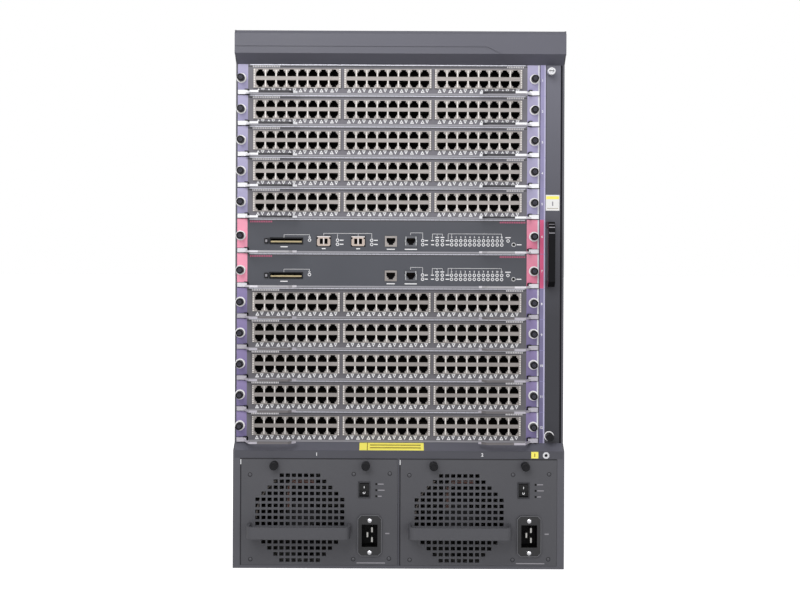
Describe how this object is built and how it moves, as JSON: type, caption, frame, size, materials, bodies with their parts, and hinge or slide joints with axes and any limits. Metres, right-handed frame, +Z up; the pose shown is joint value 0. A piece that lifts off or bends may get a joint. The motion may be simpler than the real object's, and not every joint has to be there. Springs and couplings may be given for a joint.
{
  "type": "modular network switch chassis",
  "caption": "Tall modular network switch chassis: stacked horizontal port cards and management cards that slide out, a side fan tray, and plug-in power supplies below.",
  "frame": {"origin": "centre of the bounding box at its bottom face", "axes": "+Z up, front faces -Y, +X to the right seen from the front"},
  "size_m": [0.436, 0.45, 0.708],
  "materials": {
    "chassis_paint": "satin dark grey paint",
    "rear_metal": "plain sheet steel",
    "bezel_plastic": "matt dark grey moulding",
    "socket_metal": "bright plated",
    "guide_plastic": "matt black moulding",
    "backplane_board": "green board",
    "line_card_metal": "folded faceplate with shielded port blocks",
    "mpu_card_metal": "dark grey printed faceplate",
    "lever_metal": "polished",
    "button_plastic": "matt black",
    "tray_metal": "satin dark grey paint",
    "rotor_plastic": "black moulding",
    "psu_metal": "satin dark grey paint",
    "rocker_plastic": "glossy black"
  },
  "bodies": {
    "chassis": {"side_walls": "chassis_paint", "base_panel": "rear_metal", "top_panel": "chassis_paint", "rear_panel": "rear_metal", "psu_bay_frame": "chassis_paint", "wrist_strap_socket": "socket_metal", "top_bezel": "bezel_plastic", "fan_bay_wall": "chassis_paint", "card_guides": "guide_plastic", "backplane": "backplane_board"},
    "line_card_01": {"line_card_01": "line_card_metal"},
    "line_card_01_left_lever": {"line_card_01_left_lever": "lever_metal"},
    "line_card_01_right_lever": {"line_card_01_right_lever": "lever_metal"},
    "line_card_02": {"line_card_02": "line_card_metal"},
    "line_card_02_left_lever": {"line_card_02_left_lever": "lever_metal"},
    "line_card_02_right_lever": {"line_card_02_right_lever": "lever_metal"},
    "line_card_03": {"line_card_03": "line_card_metal"},
    "line_card_03_left_lever": {"line_card_03_left_lever": "lever_metal"},
    "line_card_03_right_lever": {"line_card_03_right_lever": "lever_metal"},
    "line_card_04": {"line_card_04": "line_card_metal"},
    "line_card_04_left_lever": {"line_card_04_left_lever": "lever_metal"},
    "line_card_04_right_lever": {"line_card_04_right_lever": "lever_metal"},
    "line_card_05": {"line_card_05": "line_card_metal"},
    "line_card_05_left_lever": {"line_card_05_left_lever": "lever_metal"},
    "line_card_05_right_lever": {"line_card_05_right_lever": "lever_metal"},
    "mpu_card_1": {"mpu_card_1": "mpu_card_metal"},
    "mpu_card_1_left_lever": {"mpu_card_1_left_lever": "lever_metal"},
    "mpu_card_1_right_lever": {"mpu_card_1_right_lever": "lever_metal"},
    "mpu_card_2": {"mpu_card_2": "mpu_card_metal"},
    "mpu_card_2_left_lever": {"mpu_card_2_left_lever": "lever_metal"},
    "mpu_card_2_right_lever": {"mpu_card_2_right_lever": "lever_metal"},
    "line_card_06": {"line_card_06": "line_card_metal"},
    "line_card_06_left_lever": {"line_card_06_left_lever": "lever_metal"},
    "line_card_06_right_lever": {"line_card_06_right_lever": "lever_metal"},
    "line_card_07": {"line_card_07": "line_card_metal"},
    "line_card_07_left_lever": {"line_card_07_left_lever": "lever_metal"},
    "line_card_07_right_lever": {"line_card_07_right_lever": "lever_metal"},
    "line_card_08": {"line_card_08": "line_card_metal"},
    "line_card_08_left_lever": {"line_card_08_left_lever": "lever_metal"},
    "line_card_08_right_lever": {"line_card_08_right_lever": "lever_metal"},
    "line_card_09": {"line_card_09": "line_card_metal"},
    "line_card_09_left_lever": {"line_card_09_left_lever": "lever_metal"},
    "line_card_09_right_lever": {"line_card_09_right_lever": "lever_metal"},
    "line_card_10": {"line_card_10": "line_card_metal"},
    "line_card_10_left_lever": {"line_card_10_left_lever": "lever_metal"},
    "line_card_10_right_lever": {"line_card_10_right_lever": "lever_metal"},
    "mpu_card_1_eject_button": {"mpu_card_1_eject_button": "button_plastic"},
    "mpu_card_1_reset_button": {"mpu_card_1_reset_button": "button_plastic"},
    "mpu_card_2_eject_button": {"mpu_card_2_eject_button": "button_plastic"},
    "mpu_card_2_reset_button": {"mpu_card_2_reset_button": "button_plastic"},
    "fan_tray": {"fan_tray": "tray_metal"},
    "fan_tray_rotor_1": {"fan_tray_rotor_1": "rotor_plastic"},
    "fan_tray_rotor_2": {"fan_tray_rotor_2": "rotor_plastic"},
    "fan_tray_rotor_3": {"fan_tray_rotor_3": "rotor_plastic"},
    "psu_1": {"psu_1": "psu_metal"},
    "psu_1_rocker": {"psu_1_rocker": "rocker_plastic"},
    "psu_1_fan_rotor": {"psu_1_fan_rotor": "rotor_plastic"},
    "psu_2": {"psu_2": "psu_metal"},
    "psu_2_rocker": {"psu_2_rocker": "rocker_plastic"},
    "psu_2_fan_rotor": {"psu_2_fan_rotor": "rotor_plastic"}
  },
  "joints": [
    {"name": "line_card_01_slide", "type": "slide", "parent": "chassis", "child": "line_card_01", "axis": [0, -1, 0], "range_m": [0, 0.3]},
    {"name": "line_card_01_left_lever_hinge", "type": "hinge", "parent": "line_card_01", "child": "line_card_01_left_lever", "pos_m": [-0.2037, -0.1796, 0.6281], "axis": [0, 0, -1], "range_deg": [0, 60]},
    {"name": "line_card_01_right_lever_hinge", "type": "hinge", "parent": "line_card_01", "child": "line_card_01_right_lever", "pos_m": [0.1729, -0.1796, 0.6281], "axis": [0, 0, 1], "range_deg": [0, 60]},
    {"name": "line_card_02_slide", "type": "slide", "parent": "chassis", "child": "line_card_02", "axis": [0, -1, 0], "range_m": [0, 0.3]},
    {"name": "line_card_02_left_lever_hinge", "type": "hinge", "parent": "line_card_02", "child": "line_card_02_left_lever", "pos_m": [-0.2037, -0.1796, 0.5871], "axis": [0, 0, -1], "range_deg": [0, 60]},
    {"name": "line_card_02_right_lever_hinge", "type": "hinge", "parent": "line_card_02", "child": "line_card_02_right_lever", "pos_m": [0.1729, -0.1796, 0.5871], "axis": [0, 0, 1], "range_deg": [0, 60]},
    {"name": "line_card_03_slide", "type": "slide", "parent": "chassis", "child": "line_card_03", "axis": [0, -1, 0], "range_m": [0, 0.3]},
    {"name": "line_card_03_left_lever_hinge", "type": "hinge", "parent": "line_card_03", "child": "line_card_03_left_lever", "pos_m": [-0.2037, -0.1796, 0.5461], "axis": [0, 0, -1], "range_deg": [0, 60]},
    {"name": "line_card_03_right_lever_hinge", "type": "hinge", "parent": "line_card_03", "child": "line_card_03_right_lever", "pos_m": [0.1729, -0.1796, 0.5461], "axis": [0, 0, 1], "range_deg": [0, 60]},
    {"name": "line_card_04_slide", "type": "slide", "parent": "chassis", "child": "line_card_04", "axis": [0, -1, 0], "range_m": [0, 0.3]},
    {"name": "line_card_04_left_lever_hinge", "type": "hinge", "parent": "line_card_04", "child": "line_card_04_left_lever", "pos_m": [-0.2037, -0.1796, 0.5051], "axis": [0, 0, -1], "range_deg": [0, 60]},
    {"name": "line_card_04_right_lever_hinge", "type": "hinge", "parent": "line_card_04", "child": "line_card_04_right_lever", "pos_m": [0.1729, -0.1796, 0.5051], "axis": [0, 0, 1], "range_deg": [0, 60]},
    {"name": "line_card_05_slide", "type": "slide", "parent": "chassis", "child": "line_card_05", "axis": [0, -1, 0], "range_m": [0, 0.3]},
    {"name": "line_card_05_left_lever_hinge", "type": "hinge", "parent": "line_card_05", "child": "line_card_05_left_lever", "pos_m": [-0.2037, -0.1796, 0.4641], "axis": [0, 0, -1], "range_deg": [0, 60]},
    {"name": "line_card_05_right_lever_hinge", "type": "hinge", "parent": "line_card_05", "child": "line_card_05_right_lever", "pos_m": [0.1729, -0.1796, 0.4641], "axis": [0, 0, 1], "range_deg": [0, 60]},
    {"name": "mpu_card_1_slide", "type": "slide", "parent": "chassis", "child": "mpu_card_1", "axis": [0, -1, 0], "range_m": [0, 0.3]},
    {"name": "mpu_card_1_left_lever_hinge", "type": "hinge", "parent": "mpu_card_1", "child": "mpu_card_1_left_lever", "pos_m": [-0.2037, -0.1796, 0.4183], "axis": [0, 0, -1], "range_deg": [0, 60]},
    {"name": "mpu_card_1_right_lever_hinge", "type": "hinge", "parent": "mpu_card_1", "child": "mpu_card_1_right_lever", "pos_m": [0.1729, -0.1796, 0.4183], "axis": [0, 0, 1], "range_deg": [0, 60]},
    {"name": "mpu_card_2_slide", "type": "slide", "parent": "chassis", "child": "mpu_card_2", "axis": [0, -1, 0], "range_m": [0, 0.3]},
    {"name": "mpu_card_2_left_lever_hinge", "type": "hinge", "parent": "mpu_card_2", "child": "mpu_card_2_left_lever", "pos_m": [-0.2037, -0.1796, 0.3725], "axis": [0, 0, -1], "range_deg": [0, 60]},
    {"name": "mpu_card_2_right_lever_hinge", "type": "hinge", "parent": "mpu_card_2", "child": "mpu_card_2_right_lever", "pos_m": [0.1729, -0.1796, 0.3725], "axis": [0, 0, 1], "range_deg": [0, 60]},
    {"name": "line_card_06_slide", "type": "slide", "parent": "chassis", "child": "line_card_06", "axis": [0, -1, 0], "range_m": [0, 0.3]},
    {"name": "line_card_06_left_lever_hinge", "type": "hinge", "parent": "line_card_06", "child": "line_card_06_left_lever", "pos_m": [-0.2037, -0.1796, 0.3315], "axis": [0, 0, -1], "range_deg": [0, 60]},
    {"name": "line_card_06_right_lever_hinge", "type": "hinge", "parent": "line_card_06", "child": "line_card_06_right_lever", "pos_m": [0.1729, -0.1796, 0.3315], "axis": [0, 0, 1], "range_deg": [0, 60]},
    {"name": "line_card_07_slide", "type": "slide", "parent": "chassis", "child": "line_card_07", "axis": [0, -1, 0], "range_m": [0, 0.3]},
    {"name": "line_card_07_left_lever_hinge", "type": "hinge", "parent": "line_card_07", "child": "line_card_07_left_lever", "pos_m": [-0.2037, -0.1796, 0.2905], "axis": [0, 0, -1], "range_deg": [0, 60]},
    {"name": "line_card_07_right_lever_hinge", "type": "hinge", "parent": "line_card_07", "child": "line_card_07_right_lever", "pos_m": [0.1729, -0.1796, 0.2905], "axis": [0, 0, 1], "range_deg": [0, 60]},
    {"name": "line_card_08_slide", "type": "slide", "parent": "chassis", "child": "line_card_08", "axis": [0, -1, 0], "range_m": [0, 0.3]},
    {"name": "line_card_08_left_lever_hinge", "type": "hinge", "parent": "line_card_08", "child": "line_card_08_left_lever", "pos_m": [-0.2037, -0.1796, 0.2495], "axis": [0, 0, -1], "range_deg": [0, 60]},
    {"name": "line_card_08_right_lever_hinge", "type": "hinge", "parent": "line_card_08", "child": "line_card_08_right_lever", "pos_m": [0.1729, -0.1796, 0.2495], "axis": [0, 0, 1], "range_deg": [0, 60]},
    {"name": "line_card_09_slide", "type": "slide", "parent": "chassis", "child": "line_card_09", "axis": [0, -1, 0], "range_m": [0, 0.3]},
    {"name": "line_card_09_left_lever_hinge", "type": "hinge", "parent": "line_card_09", "child": "line_card_09_left_lever", "pos_m": [-0.2037, -0.1796, 0.2085], "axis": [0, 0, -1], "range_deg": [0, 60]},
    {"name": "line_card_09_right_lever_hinge", "type": "hinge", "parent": "line_card_09", "child": "line_card_09_right_lever", "pos_m": [0.1729, -0.1796, 0.2085], "axis": [0, 0, 1], "range_deg": [0, 60]},
    {"name": "line_card_10_slide", "type": "slide", "parent": "chassis", "child": "line_card_10", "axis": [0, -1, 0], "range_m": [0, 0.3]},
    {"name": "line_card_10_left_lever_hinge", "type": "hinge", "parent": "line_card_10", "child": "line_card_10_left_lever", "pos_m": [-0.2037, -0.1796, 0.1675], "axis": [0, 0, -1], "range_deg": [0, 60]},
    {"name": "line_card_10_right_lever_hinge", "type": "hinge", "parent": "line_card_10", "child": "line_card_10_right_lever", "pos_m": [0.1729, -0.1796, 0.1675], "axis": [0, 0, 1], "range_deg": [0, 60]},
    {"name": "mpu_card_1_eject_button_press", "type": "slide", "parent": "mpu_card_1", "child": "mpu_card_1_eject_button", "axis": [0, 1, 0], "range_m": [0, 0.0015], "stiffness_N_per_m": 300, "springref_m": -0.001},
    {"name": "mpu_card_1_reset_button_press", "type": "slide", "parent": "mpu_card_1", "child": "mpu_card_1_reset_button", "axis": [0, 1, 0], "range_m": [0, 0.001], "stiffness_N_per_m": 150, "springref_m": -0.001},
    {"name": "mpu_card_2_eject_button_press", "type": "slide", "parent": "mpu_card_2", "child": "mpu_card_2_eject_button", "axis": [0, 1, 0], "range_m": [0, 0.0015], "stiffness_N_per_m": 300, "springref_m": -0.001},
    {"name": "mpu_card_2_reset_button_press", "type": "slide", "parent": "mpu_card_2", "child": "mpu_card_2_reset_button", "axis": [0, 1, 0], "range_m": [0, 0.001], "stiffness_N_per_m": 150, "springref_m": -0.001},
    {"name": "fan_tray_slide", "type": "slide", "parent": "chassis", "child": "fan_tray", "axis": [0, -1, 0], "range_m": [0, 0.3]},
    {"name": "fan_tray_rotor_1_spin", "type": "hinge", "parent": "fan_tray", "child": "fan_tray_rotor_1", "pos_m": [0.2105, -0.005, 0.5728], "axis": [1, 0, 0], "continuous": true},
    {"name": "fan_tray_rotor_2_spin", "type": "hinge", "parent": "fan_tray", "child": "fan_tray_rotor_2", "pos_m": [0.2105, -0.005, 0.4148], "axis": [1, 0, 0], "continuous": true},
    {"name": "fan_tray_rotor_3_spin", "type": "hinge", "parent": "fan_tray", "child": "fan_tray_rotor_3", "pos_m": [0.2105, -0.005, 0.2568], "axis": [1, 0, 0], "continuous": true},
    {"name": "psu_1_slide", "type": "slide", "parent": "chassis", "child": "psu_1", "axis": [0, -1, 0], "range_m": [0, 0.28]},
    {"name": "psu_1_rocker_tilt", "type": "hinge", "parent": "psu_1", "child": "psu_1_rocker", "pos_m": [-0.0452, -0.1926, 0.1038], "axis": [-1, 0, 0], "range_deg": [0, 16]},
    {"name": "psu_1_fan_spin", "type": "hinge", "parent": "psu_1", "child": "psu_1_fan_rotor", "pos_m": [-0.1298, -0.182, 0.0666], "axis": [0, 1, 0], "continuous": true},
    {"name": "psu_2_slide", "type": "slide", "parent": "chassis", "child": "psu_2", "axis": [0, -1, 0], "range_m": [0, 0.28]},
    {"name": "psu_2_rocker_tilt", "type": "hinge", "parent": "psu_2", "child": "psu_2_rocker", "pos_m": [0.1644, -0.1926, 0.1038], "axis": [-1, 0, 0], "range_deg": [0, 16]},
    {"name": "psu_2_fan_spin", "type": "hinge", "parent": "psu_2", "child": "psu_2_fan_rotor", "pos_m": [0.0798, -0.182, 0.0666], "axis": [0, 1, 0], "continuous": true}
  ]
}
